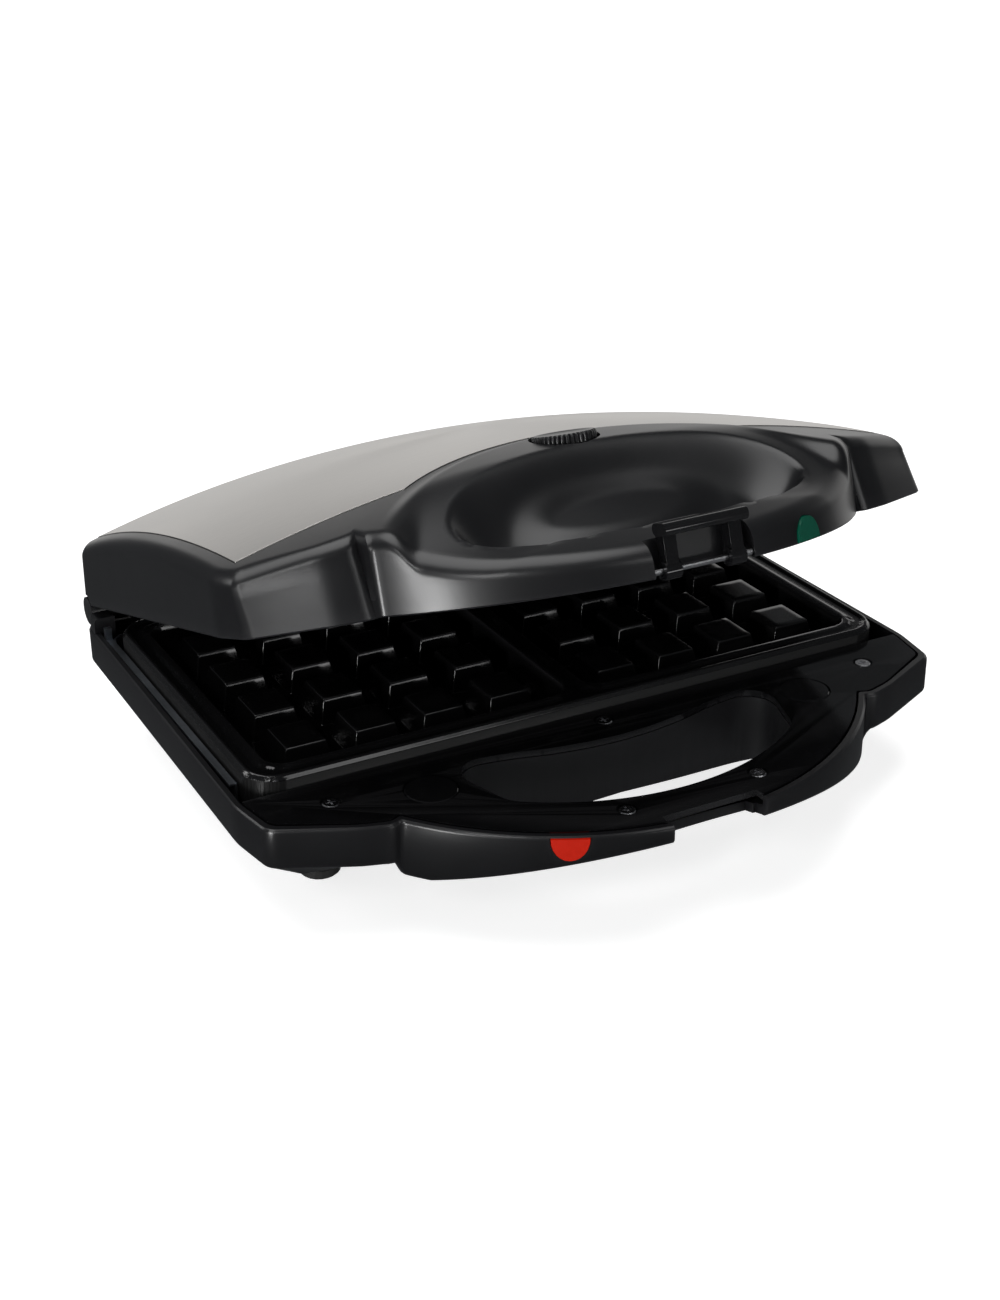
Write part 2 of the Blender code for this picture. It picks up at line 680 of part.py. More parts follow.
def lid_panel(parent):
    panel = deck("lid_panel", LID_INSET + WALL + 1.2, 48.2, 50.0, False, -1)
    cut(panel, box((-21.0, -130.0, 30.0), (21.0, -109.6, 60.0), "latch_room"))
    return finish(panel, SATIN_BLACK, parent, flat=True)


def screw(name, x, y, z_top, up, parent=None):
    """Pan-head cross-recess screw. up is +1 when its head faces up."""
    head = cylinder((x, y, z_top - up * 0.45), 2.9, 0.9, "Z", name, PARTS, 14, bevel=0.3)
    join(head, cylinder((x, y, z_top - up * 2.9), 1.5, 4.6, "Z", "shank", segments=8))
    cut(head, box((x - 1.7, y - 0.35, z_top - 0.55), (x + 1.7, y + 0.35, z_top + 0.55), "slot"))
    cut(head, box((x - 0.35, y - 1.7, z_top - 0.55), (x + 0.35, y + 1.7, z_top + 0.55), "slot"))
    return finish(head, STEEL, parent)


def latch_clip(parent):
    """Latch standing up: two legs on the pin and a hooked bar that closes under the base handle."""
    section = rounded_rectangle(3.9, LATCH_Z + 10.6, LATCH_Z + 14.4, 1.6, 3, LATCH_Y - 2.0)
    clip = ring_body([[(x, y, z) for y, z in section] for x in (-14.5, 14.5)], "latch_clip")
    for side in (-1, 1):
        x_low, x_high = sorted((side * 9.2, side * 13.6))
        foot_corner = (x_low, LATCH_Y - 2.2, LATCH_Z - 0.2)
        join(clip, box(foot_corner, (x_high, LATCH_Y + 2.2, LATCH_Z + 11.6), "leg"))
        join(clip, cylinder((side * 11.4, LATCH_Y, LATCH_Z), 2.9, 5.4, "X", "eye", segments=24))
    cut(clip, cylinder((0, LATCH_Y, LATCH_Z), 1.25, 60.0, "X", "pin_room", segments=16))
    return finish(clip, GLOSS_BLACK, parent)


def dial(parent):
    """Thermostat thumbwheel with a ribbed edge, its rear edge standing clear of the ring."""
    wheel = cylinder((0, DIAL_Y, DIAL_Z), DIAL_R, 5.0, "Z", "thermostat_dial", PARTS, 48, bevel=0.8)
    join(wheel, cylinder((0, DIAL_Y, DIAL_Z - 6.2), 2.8, 8.4, "Z", "spindle", segments=20))
    return finish(wheel, SATIN_BLACK, parent)


def lamp(name, middle):
    """Small neon lamp lying behind a window."""
    return cylinder(middle, 1.9, 7.0, "Y", name, PARTS, 16, 0.5)


def main():
    lid_axis = pivot("lid_axis", (0, HINGE_Y, HINGE_Z))
    latch_axis = pivot("latch_axis", (0, LATCH_Y, LATCH_Z), lid_axis)
    dial_axis = pivot("dial_axis", (0, DIAL_Y, DIAL_Z), lid_axis)

    base_housing()
    base_panel()
    for i, (x, y) in enumerate(SCREW_PLACES):
        screw(f"panel_screw_{i + 1}", x, y, 41.5, 1)
    for side, (x, y) in zip(("left", "right"), PAD_PLACES):
        pad = cylinder((x, y, 41.15), PAD_R, 1.1, "Z", f"bumper_pad_{side}", PARTS, 28, 0.3)
        finish(pad, SATIN_BLACK)
    waffle_plate("lower_plate", 1)
    lower_tray()
    heater("lower_heater", PARTING_Z - RIM_GAP - PLATE_DEPTH - 3.4)
    finish(lamp_window("red_lens", RED_X, RED_Z, -1, HANDLE_R), RED_WINDOW)
    finish(lamp("red_lamp", (-45.0, -99.5, 36.8)), ((0.7, 0.3, 0.2), 0.1))
    finish(box((40.0, 66.0, 7.2), (76.0, 84.0, 19.0), "terminal_block", PARTS, 0.8), CERAMIC)
    finish(cylinder((0.0, 30.0, 20.6), 3.2, 26.0, "X", "thermal_fuse", PARTS, 16, 0.6), CERAMIC)
    gland = cylinder((GLAND_X, BASE_REAR_Y - 1.0, GLAND_Z), 5.0, 9.0, "Y", "cord_gland", PARTS, 24)
    flange_middle = (GLAND_X, BASE_REAR_Y + 1.6, GLAND_Z)
    join(gland, cylinder(flange_middle, 7.2, 2.4, "Y", "flange", segments=28, bevel=0.6))
    cut(gland, cylinder((GLAND_X, BASE_REAR_Y, GLAND_Z), 3.2, 30.0, "Y", "bore", segments=20))
    finish(gland, RUBBER)
    for side, x in (("left", -PIN_X), ("right", PIN_X)):
        finish(cylinder((x, HINGE_Y, HINGE_Z), PIN_R, 11.0, "X", f"hinge_pin_{side}", PARTS, 20), STEEL)
    feet = ((-96.0, -28.0), (96.0, -28.0), (-96.0, 84.0), (96.0, 84.0))
    for i, (x, y) in enumerate(feet):
        foot = cylinder((x, y, FOOT_HEIGHT / 2), 7.0, FOOT_HEIGHT, "Z", f"foot_{i + 1}", PARTS, 20, 0.7)
        finish(foot, RUBBER)

    lid_housing(lid_axis)
    finish(inlay_body("lid_inlay", 0.0), STAINLESS, lid_axis)
    lid_panel(lid_axis)
    for i, (x, y) in enumerate(SCREW_PLACES):
        screw(f"lid_screw_{i + 1}", x, y, 48.4, -1, lid_axis)
    waffle_plate("upper_plate", -1, lid_axis)
    finish(tray("upper_tray", -1, 67.5, 50.0, 123.4), BRIGHT_SHEET, lid_axis, True)
    heater("upper_heater", PARTING_Z + RIM_GAP + PLATE_DEPTH + 3.4, lid_axis)
    green_reach = HANDLE_R - LID_INSET
    finish(lamp_window("green_lens", GREEN_X, GREEN_Z, 1, green_reach), GREEN_WINDOW, lid_axis)
    finish(lamp("green_lamp", (39.5, -98.5, 52.6)), ((0.2, 0.6, 0.4), 0.1), lid_axis)
    thermostat = cylinder((0.0, DIAL_Y, DIAL_Z - 14.0), 9.0, 6.0, "Z", "thermostat", PARTS, 24, 0.6)
    finish(thermostat, CERAMIC, lid_axis)
    finish(cylinder((0, LATCH_Y, LATCH_Z), 1.0, 37.0, "X", "latch_pin", PARTS, 12), STEEL, lid_axis)
    latch_clip(latch_axis)
    dial(dial_axis)
    lid_axis.rotation_euler.x = -LID_AJAR


main()
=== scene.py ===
"""Looks of the two-slice waffle maker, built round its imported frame.

Sizes are in millimetres and become metres when a mesh is made. The lid's pieces are drawn with the lid
closed and then turned to the angle at which it rests.
"""

from math import acos, asin, atan2, cos, hypot, pi, radians, sin, sqrt

import bmesh
import bpy
from mathutils import Matrix, Vector


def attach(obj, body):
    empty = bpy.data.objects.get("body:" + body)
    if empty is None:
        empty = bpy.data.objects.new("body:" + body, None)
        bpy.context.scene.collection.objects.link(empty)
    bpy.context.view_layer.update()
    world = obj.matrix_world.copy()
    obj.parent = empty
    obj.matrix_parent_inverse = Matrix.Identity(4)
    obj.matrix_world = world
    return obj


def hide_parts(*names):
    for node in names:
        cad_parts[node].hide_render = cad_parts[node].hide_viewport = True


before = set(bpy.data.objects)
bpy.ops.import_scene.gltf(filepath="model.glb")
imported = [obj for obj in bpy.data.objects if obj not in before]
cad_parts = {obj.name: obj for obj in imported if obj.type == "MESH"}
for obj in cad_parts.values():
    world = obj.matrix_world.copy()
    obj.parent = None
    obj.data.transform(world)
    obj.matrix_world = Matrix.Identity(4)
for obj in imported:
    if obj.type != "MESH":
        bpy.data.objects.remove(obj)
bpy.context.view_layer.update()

MM = 0.001
GAP = 0.3
WALL = 2.5
BASE_RIM_Z = 41.5
PARTING_Z = 46.5
LID_RIM_Z = 48.0
FLOOR_Z = 4.3
HANDLE_Y = -12.0
HANDLE_R = 109.3
HALF_WIDTH = 130.0
BASE_REAR_Y = 111.9
SHOULDER_Y = -78.0
LID_INSET = 1.8
LID_REAR_Y = 119.0
CENTRE_Y = 3.0
HINGE = Vector((0.0, 110.4, 46.1))
LID_AJAR = radians(17.86)
KNUCKLE_R = 5.2
LATCH_Y = -116.0
LATCH_Z = 49.6
RING_Y = -125.5
RING_R = 98.0
RING_RISE = 1.6
SCOOP_Y = -81.0
SCOOP_HALF_X = 62.0
SCOOP_FRONT = 23.0
SCOOP_REAR = 29.0
SCOOP_DEPTH = 14.0
SCOOP_PAD = (-2.0, -73.0)
SCOOP_PAD_HALF = (40.0, 13.0)
SCOOP_PAD_RISE = 2.4
DIAL = (0.0, -41.5, 87.0)
DIAL_R = 10.8
KNUCKLE_X = 115.4
EAR_X = 123.5
CORD_X = 70.0
CORD_Z = 32.0
RED_X, RED_Z = -48.0, 40.9
GREEN_X, GREEN_Z = 42.0, 48.4
SCREW_PLACES = ((-102.5, -56.0), (102.5, -56.0), (0.0, -49.5), (-24.3, -104.0), (24.3, -104.0))
PAD_PLACES = ((-71.6, -63.8), (71.6, -63.8))
PLATE_HALF_X = 122.3
PLATE_FRONT_Y = -42.0
PLATE_REAR_Y = 94.5
PLATE_DEPTH = 12.7
PLATE_CORNER = 12.0
FIELD_X = 58.6
PIP_COLUMNS = [side * FIELD_X + (c - 1.5) * 25.0 for side in (-1, 1) for c in range(4)]
PIP_ROWS = [-14.1 + r * 26.9 for r in range(4)]
PIP_HALF = (6.9, 7.9)
PIP_HEIGHT = 9.5
PIP_DRAFT = 2.3
PIP_EDGE = 0.2
WELL_DEPTH = 10.7

TO_LID = Matrix.Translation(HINGE) @ Matrix.Rotation(-LID_AJAR, 4, "X") @ Matrix.Translation(-HINGE)


# ---------------------------------------------------------------- materials

def node(tree, kind, **inputs):
    made = tree.nodes.new(kind)
    for key, value in inputs.items():
        made.inputs[key.replace("_", " ")].default_value = value
    return made


def ranged(tree, source, low, high, to_low, to_high):
    made = tree.nodes.new("ShaderNodeMapRange")
    for slot, value in ((1, low), (2, high), (3, to_low), (4, to_high)):
        made.inputs[slot].default_value = value
    tree.links.new(source, made.inputs[0])
    return made.outputs[0]


def blended(tree, factor, low, high):
    """A colour between two, each a colour or a socket."""
    made = tree.nodes.new("ShaderNodeMix")
    made.data_type = "RGBA"
    tree.links.new(factor, made.inputs["Factor"])
    for slot, value in ((6, low), (7, high)):
        if isinstance(value, tuple):
            made.inputs[slot].default_value = (*value, 1.0)
        else:
            tree.links.new(value, made.inputs[slot])
    return made.outputs[2]


def noise(tree, coords, scale, stretch=(1, 1, 1), detail=4.0, roughness=0.55):
    mapping = node(tree, "ShaderNodeMapping", Scale=stretch)
    tree.links.new(coords, mapping.inputs["Vector"])
    made = node(tree, "ShaderNodeTexNoise", Scale=scale, Detail=detail, Roughness=roughness)
    tree.links.new(mapping.outputs[0], made.inputs["Vector"])
    return made.outputs[0]


def material(name, dark, light, rough, grain=2200.0, bump=0.1, stretch=(1, 1, 1), broad=14.0, edge=0.0,
             edge_highlight_colour=(0.1, 0.1, 0.1), scratch=0.0, deep=0.00008, **sockets):
    """Principled surface: noise at two scales gives colour, roughness and bump, and convex edges get a
    painted highlight in a lighter colour.
    """
    made = bpy.data.materials.new(name)
    made.use_nodes = True
    tree = made.node_tree
    shader = tree.nodes["Principled BSDF"]
    for key, value in sockets.items():
        shader.inputs[key.replace("_", " ")].default_value = value
    coords = tree.nodes.new("ShaderNodeTexCoord").outputs["Object"]
    fine = noise(tree, coords, grain, stretch, 5.0)
    wide = noise(tree, coords, broad, (1, 1, 1), 3.0)
    mixed = tree.nodes.new("ShaderNodeMath")
    mixed.operation = "MULTIPLY_ADD"
    mixed.inputs[1].default_value = 0.45
    tree.links.new(fine, mixed.inputs[0])
    tree.links.new(ranged(tree, wide, 0.3, 0.7, 0.0, 0.55), mixed.inputs[2])
    colour = blended(tree, ranged(tree, mixed.outputs[0], 0.25, 0.75, 0.0, 1.0), dark, light)
    roughness = ranged(tree, mixed.outputs[0], 0.2, 0.8, rough[0], rough[1])
    if scratch:
        lines = noise(tree, coords, 60.0, (1.0, 26.0, 1.0), 8.0, 0.8)
        marks = ranged(tree, lines, 0.66, 0.74, 0.0, scratch)
        added = tree.nodes.new("ShaderNodeMath")
        tree.links.new(roughness, added.inputs[0])
        tree.links.new(marks, added.inputs[1])
        roughness = added.outputs[0]
    # painted highlight: convex edges, found by pointiness, are mixed towards a lighter colour
    if edge:
        bend = tree.nodes.new("ShaderNodeNewGeometry").outputs["Pointiness"]
        edge_highlight_mask = ranged(tree, bend, 0.52, 0.62, 0.0, edge)
        colour = blended(tree, edge_highlight_mask, colour, edge_highlight_colour)
    tree.links.new(colour, shader.inputs["Base Color"])
    tree.links.new(roughness, shader.inputs["Roughness"])
    relief = node(tree, "ShaderNodeBump", Strength=bump, Distance=deep)
    tree.links.new(fine, relief.inputs["Height"])
    tree.links.new(relief.outputs[0], shader.inputs["Normal"])
    return made


# edge and its colour give these materials a painted highlight along convex edges
SATIN = material("satin_black", (0.0034, 0.0034, 0.0040), (0.0065, 0.0065, 0.0075), (0.27, 0.36),
                 2600.0, 0.14, edge=0.3, edge_highlight_colour=(0.035, 0.035, 0.037), Specular_IOR_Level=0.46)
GLOSS = material("gloss_black", (0.002, 0.002, 0.0022), (0.004, 0.004, 0.0045), (0.05, 0.11), 420.0, 0.03,
                 scratch=0.12, edge=0.25, edge_highlight_colour=(0.04, 0.04, 0.042), Specular_IOR_Level=0.5)
COATED = material("nonstick", (0.003, 0.003, 0.0032), (0.006, 0.006, 0.0065), (0.11, 0.19), 1500.0, 0.06,
                  edge=0.6, edge_highlight_colour=(0.05, 0.05, 0.054), Specular_IOR_Level=0.5)
CAST = material("painted_cast", (0.003, 0.003, 0.003), (0.007, 0.007, 0.0072), (0.42, 0.55), 1100.0, 0.25,
                Specular_IOR_Level=0.3)
INLAY = material("satin_stainless", (0.56, 0.545, 0.525), (0.68, 0.66, 0.635), (0.30, 0.40), 700.0, 0.10,
                 stretch=(0.05, 1.6, 1.0), broad=9.0, Metallic=1.0, Anisotropic=0.45)
SHEET = material("bright_sheet", (0.30, 0.33, 0.37), (0.44, 0.47, 0.51), (0.26, 0.42), 900.0, 0.12,
                 stretch=(0.08, 1.0, 1.0), Metallic=1.0)
STEEL = material("turned_steel", (0.45, 0.45, 0.46), (0.66, 0.66, 0.68), (0.12, 0.26), 1800.0, 0.15,
                 Metallic=1.0)
SHEATH = material("heater_sheath", (0.06, 0.055, 0.05), (0.16, 0.14, 0.12), (0.38, 0.6), 900.0, 0.25,
                  broad=60.0, Metallic=1.0)
RUBBER = material("rubber", (0.012, 0.012, 0.012), (0.028, 0.028, 0.027), (0.66, 0.86), 1400.0, 0.35)
CERAMIC = material("ceramic", (0.52, 0.50, 0.45), (0.68, 0.66, 0.60), (0.42, 0.6), 1100.0, 0.2)
RED = material("red_lens", (0.20, 0.006, 0.002), (0.32, 0.010, 0.003), (0.12, 0.22), 500.0, 0.05,
               Emission_Color=(0.6, 0.012, 0.002, 1.0), Emission_Strength=0.3, Specular_IOR_Level=0.35)
GREEN = material("green_lens", (0.0005, 0.030, 0.017), (0.001, 0.055, 0.032), (0.12, 0.22), 500.0, 0.05,
                 Emission_Color=(0.0005, 0.1, 0.06, 1.0), Emission_Strength=0.15, Specular_IOR_Level=0.35)
BULB = material("lamp_glass", (0.42, 0.20, 0.12), (0.6, 0.34, 0.2), (0.05, 0.15), 300.0, 0.03,
                Transmission_Weight=0.6)


# ---------------------------------------------------------------- mesh helpers

def made_object(bm, name):
    """A mesh object from a bmesh in millimetres."""
    bmesh.ops.remove_doubles(bm, verts=bm.verts, dist=1e-4)
    bmesh.ops.recalc_face_normals(bm, faces=bm.faces)
    bmesh.ops.scale(bm, vec=(MM, MM, MM), verts=bm.verts)
    mesh = bpy.data.meshes.new(name)
    bm.to_mesh(mesh)
    bm.free()
    made = bpy.data.objects.new(name, mesh)
    bpy.context.scene.collection.objects.link(made)
    return made


def ring_body(rings, name):
    bm = bmesh.new()
    loops = [[bm.verts.new(p) for p in ring] for ring in rings]
    count = len(loops[0])
    for low, high in zip(loops, loops[1:]):
        for i in range(count):
            j = (i + 1) % count
            bm.faces.new((low[i], low[j], high[j], high[i]))
    for loop in (loops[0], loops[-1]):
        hub = bm.verts.new(sum((v.co for v in loop), Vector()) / count)
        for i in range(count):
            bm.faces.new((loop[i], loop[(i + 1) % count], hub))
    return made_object(bm, name)


def slab(outline, z_low, z_high, name):
    bm = bmesh.new()
    face = bm.faces.new([bm.verts.new((x, y, z_low)) for x, y in outline])
    grown = bmesh.ops.extrude_face_region(bm, geom=[face])
    top = [item for item in grown["geom"] if isinstance(item, bmesh.types.BMVert)]
    bmesh.ops.translate(bm, verts=top, vec=(0, 0, z_high - z_low))
    return made_object(bm, name)


def box(low, high, name, bevel=0.0, segments=3):
    bm = bmesh.new()
    bmesh.ops.create_cube(bm, size=1.0)
    bmesh.ops.scale(bm, vec=Vector(high) - Vector(low), verts=bm.verts)
    bmesh.ops.translate(bm, vec=(Vector(high) + Vector(low)) / 2, verts=bm.verts)
    if bevel:
        bmesh.ops.bevel(bm, geom=bm.edges[:], offset=bevel, segments=segments, affect="EDGES", profile=0.5)
    return made_object(bm, name)


def cylinder(centre, radius, length, axis, name, segments=64):
    bm = bmesh.new()
    bmesh.ops.create_cone(bm, cap_ends=True, segments=segments, radius1=radius, radius2=radius, depth=length)
    turn = {
        "X": Matrix.Rotation(pi / 2, 3, "Y"),
        "Y": Matrix.Rotation(pi / 2, 3, "X"),
        "Z": Matrix.Identity(3),
    }
    bmesh.ops.rotate(bm, cent=(0, 0, 0), matrix=turn[axis], verts=bm.verts)
    bmesh.ops.translate(bm, vec=centre, verts=bm.verts)
    return made_object(bm, name)


def combine(target, other, operation, solver="MANIFOLD"):
    step = target.modifiers.new("step", "BOOLEAN")
    step.operation = operation
    step.solver = solver
    step.object = other
    graph = bpy.context.evaluated_depsgraph_get()
    graph.update()
    mesh = bpy.data.meshes.new_from_object(target.evaluated_get(graph))
    target.modifiers.clear()
    target.data = mesh
    bpy.data.objects.remove(other, do_unlink=True)


def cut(target, *others, solver="MANIFOLD"):
    for other in others:
        combine(target, other, "DIFFERENCE", solver)


def join(target, *others, solver="MANIFOLD"):
    for other in others:
        combine(target, other, "UNION", solver)


def place(piece, body, look, stands_for=(), sharp=30.0, soften=0.0):
    """Gives a piece its material, shading and body. Lid and latch pieces turn to the resting angle here."""
    mesh = piece.data
    mesh.materials.clear()
    mesh.materials.append(look)
    for face in mesh.polygons:
        face.use_smooth = True
        face.material_index = 0
    mesh.set_sharp_from_angle(angle=radians(sharp))
    if body != "base":
        matrix = TO_LID.copy()
        matrix.translation = TO_LID.translation * MM
        mesh.transform(matrix)
    if soften:
        rounded(piece, soften)
    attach(piece, body)
    if stands_for:
        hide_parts(*stands_for)
    return piece


def rounded(piece, width, segments=3, angle=35.0):
    step = piece.modifiers.new("rounding", "BEVEL")
    step.width = width * MM
    step.segments = segments
    step.limit_method = "ANGLE"
    step.angle_limit = radians(angle)
    step.harden_normals = True
    step.use_clamp_overlap = True


# ---------------------------------------------------------------- outlines

def arc(centre, radius, start, end, steps):
    angles = [radians(start + (end - start) * i / steps) for i in range(steps + 1)]
    return [(centre[0] + radius * cos(a), centre[1] + radius * sin(a)) for a in angles]


def both_sides(right):
    left = [(-x, y) for x, y in reversed(right) if abs(x) > 1e-6]
    return right + left


def shell_outline(inset, rear_y):
    """Plan of the base or the lid: round handle, stepped shoulders, straight sides, round rear corners."""
    reach = HANDLE_R - inset
    foot_x = 88.5 - 0.4 * inset
    foot_angle = -90 + 180 / pi * acos(sqrt(reach * reach - foot_x * foot_x) / reach)
    points = arc((0, HANDLE_Y), reach, -90, foot_angle, 40)
    points.append((91.0 - 0.4 * inset, SHOULDER_Y + inset - 0.3))
    points.append((100.5, SHOULDER_Y + 2.8 + inset))
    corner = max(6.5 - 0.4 * inset, 1.5)
    points += arc((127.6 - inset - corner, -65.0 + 1.05 * inset + corner), corner, -66, -8, 12)
    points.append((HALF_WIDTH - inset, -44.0))
    points.append((HALF_WIDTH - 0.5 - inset, 0.0))
    points.append((HALF_WIDTH - 1.0 - inset, 48.0))
    corner = max(6.0 - 0.5 * inset, 0.8)
    points += arc((HALF_WIDTH - 1.5 - inset - corner, rear_y - 1.2 - inset - corner), corner, 0, 84, 8)
    points.append((60.0, rear_y - 0.3 - inset))
    points.append((0.0, rear_y - inset))
    return both_sides(points)


def sampling(outline, spacing):
    """Places along a closed outline, as (segment, share), at most one spacing apart."""
    places = []
    for i, (ax, ay) in enumerate(outline):
        bx, by = outline[(i + 1) % len(outline)]
        steps = max(1, round(hypot(bx - ax, by - ay) / spacing))
        places += [(i, k / steps) for k in range(steps)]
    return places


def sampled(outline, places, passes=2):
    points = []
    for i, share in places:
        (ax, ay), (bx, by) = outline[i], outline[(i + 1) % len(outline)]
        points.append((ax + (bx - ax) * share, ay + (by - ay) * share))
    return relaxed(points, passes)


def relaxed(points, passes):
    """The closed outline with its corners eased by averaging neighbours."""
    count = len(points)
    for _ in range(passes):
        points = [
            tuple((points[i - 1][k] + 2 * points[i][k] + points[(i + 1) % count][k]) / 4 for k in (0, 1))
            for i in range(count)
        ]
    return points


PLACES = sampling(shell_outline(0.0, BASE_REAR_Y), 1.7)


def plan(inset, rear_y):
    return sampled(shell_outline(inset, rear_y), PLACES)


def radius_to(outline, angle):
    dx, dy = cos(angle), sin(angle)
    best = 0.0
    for (ax, ay), (bx, by) in zip(outline, outline[1:] + outline[:1]):
        ay, by = ay - CENTRE_Y, by - CENTRE_Y
        ex, ey = bx - ax, by - ay
        cross = dx * ey - dy * ex
        if abs(cross) < 1e-9:
            continue
        along = (ax * ey - ay * ex) / cross
        share = (ax * dy - ay * dx) / cross
        if along > 0 and -1e-9 <= share <= 1 + 1e-9:
            best = max(best, along)
    return best


def raised(outline, height):
    return [(x, y, height(x, y) if callable(height) else height) for x, y in outline]


def seen_from_centre(outline, like):
    points = []
    for x, y in like:
        angle = atan2(y - CENTRE_Y, x)
        r = radius_to(outline, angle)
        points.append((r * cos(angle), CENTRE_Y + r * sin(angle)))
    return points


def towards_centre(outline, share):
    return [(x * share, CENTRE_Y + (y - CENTRE_Y) * share) for x, y in outline]


def between(low, high, share):
    return [tuple(a + (b - a) * share for a, b in zip(p, q)) for p, q in zip(low, high)]


def hand_outline(grow):
    front = arc((0, -13.0), 87.5 + grow, -90, -52, 30)
    end = arc((50.0, -62.5), 9.5 + grow, -30, 95, 14)
    rear = [(38.0, -55.0 + grow), (25.0, -58.5 + grow), (12.0, -60.6 + grow), (0.0, -61.3 + grow)]
    coarse = both_sides(front + end + rear)
    return sampled(coarse, sampling(coarse, 1.4), 4)


def rounded_rectangle(half_x, y_low, y_high, radius, steps=12):
    corners = (
        (half_x - radius, y_low + radius, -90),
        (half_x - radius, y_high - radius, 0),
        (-half_x + radius, y_high - radius, 90),
        (-half_x + radius, y_low + radius, 180),
    )
    return [p for x, y, start in corners for p in arc((x, y), radius, start, start + 90, steps)]


# ---------------------------------------------------------------- shells

def underside_z(x, y):
    if y > 0:
        return 28.0
    arch = max(36.4 - 15.0 * (x / 84.0) ** 2, 22.2)
    return arch + (28.0 - arch) * smooth((abs(x) - 87.0) / 4.0)


def crown_z(x, y):
    return 74.3 + 18.0 * (1 - (x / 126.0) ** 2) - (y - 40.0) ** 2 / 1150.0


def smooth(t):
    t = min(max(t, 0.0), 1.0)
    return t * t * (3 - 2 * t)


def eased(u, width=0.35):
    """u where positive and 0 where negative, with a parabola between."""
    if abs(u) < width:
        return (u + width) ** 2 / (4 * width)
    return max(u, 0.0)


def lid_top_z(x, y):
    """Top of the closed lid: a shallow crown, the raised ring over the handle and its hand scoop."""
    z = crown_z(x, y)
    inside = RING_R - hypot(x, y - RING_Y)
    if inside <= 0:
        return z
    z += RING_RISE * smooth(inside / 7.0)
    z -= 12.8 * smooth((-52.0 - y) / 50.0) * smooth(inside / 12.0)
    z -= 0.13 * max(0.0, -102.0 - y)
    reach = SCOOP_FRONT if y < SCOOP_Y else SCOOP_REAR
    out = max(hypot(x / SCOOP_HALF_X, (y - SCOOP_Y) / reach), 1e-6)
    rearward = smooth((y - SCOOP_Y) / reach / out)
    steep = 1 - (1 - min(eased((1 - out) / 0.32, 0.04), 1.0)) ** 2
    pad = 1 - hypot((x - SCOOP_PAD[0]) / SCOOP_PAD_HALF[0], (y - SCOOP_PAD[1]) / SCOOP_PAD_HALF[1])
    wall = steep + (smooth((1 - out) / 0.55) - steep) * rearward
    return z - SCOOP_DEPTH * wall + SCOOP_PAD_RISE * smooth(pad / 0.4)


def lamp_window(name, x, z_flat, way, reach, grow, depth, stand_out):
    radius = 6.0 + grow
    profile = []
    for i in range(25):
        a = i * pi / 24
        profile.append((radius * cos(a), way * (radius * 1.25) * sin(a) - way * grow * 0.4))
    bm = bmesh.new()
    face = bm.faces.new([bm.verts.new((dx, 0, dz)) for dx, dz in profile])
    grown = bmesh.ops.extrude_face_region(bm, geom=[face])
    back = [item for item in grown["geom"] if isinstance(item, bmesh.types.BMVert)]
    bmesh.ops.translate(bm, verts=back, vec=(0, depth, 0))
    bmesh.ops.translate(bm, verts=bm.verts, vec=(0, -reach - stand_out, 0))
    bmesh.ops.rotate(bm, cent=(0, 0, 0), matrix=Matrix.Rotation(asin(x / reach), 3, "Z"), verts=bm.verts)
    bmesh.ops.translate(bm, verts=bm.verts, vec=(0, HANDLE_Y, z_flat))
    return made_object(bm, name)


def hinge_shoulder(side):
    """Raised block in a rear corner of the base, with an eased top edge."""
    rings = [raised(plan(inset, BASE_REAR_Y - 0.3), z)
             for inset, z in ((0.5, 36.0), (0.5, 45.6), (0.8, 46.5), (1.4, 47.0), (2.2, 47.2))]
    block = ring_body(rings, "hinge_shoulder")
    x_low, x_high = sorted((-side * 140.0, side * 120.2))
    cut(block, box((x_low, -140.0, 20.0), (x_high, 140.0, 60.0), "middle"))
    cut(block, box((-140.0, -140.0, 20.0), (140.0, HINGE.y - 11.4, 60.0), "front"))
    return block


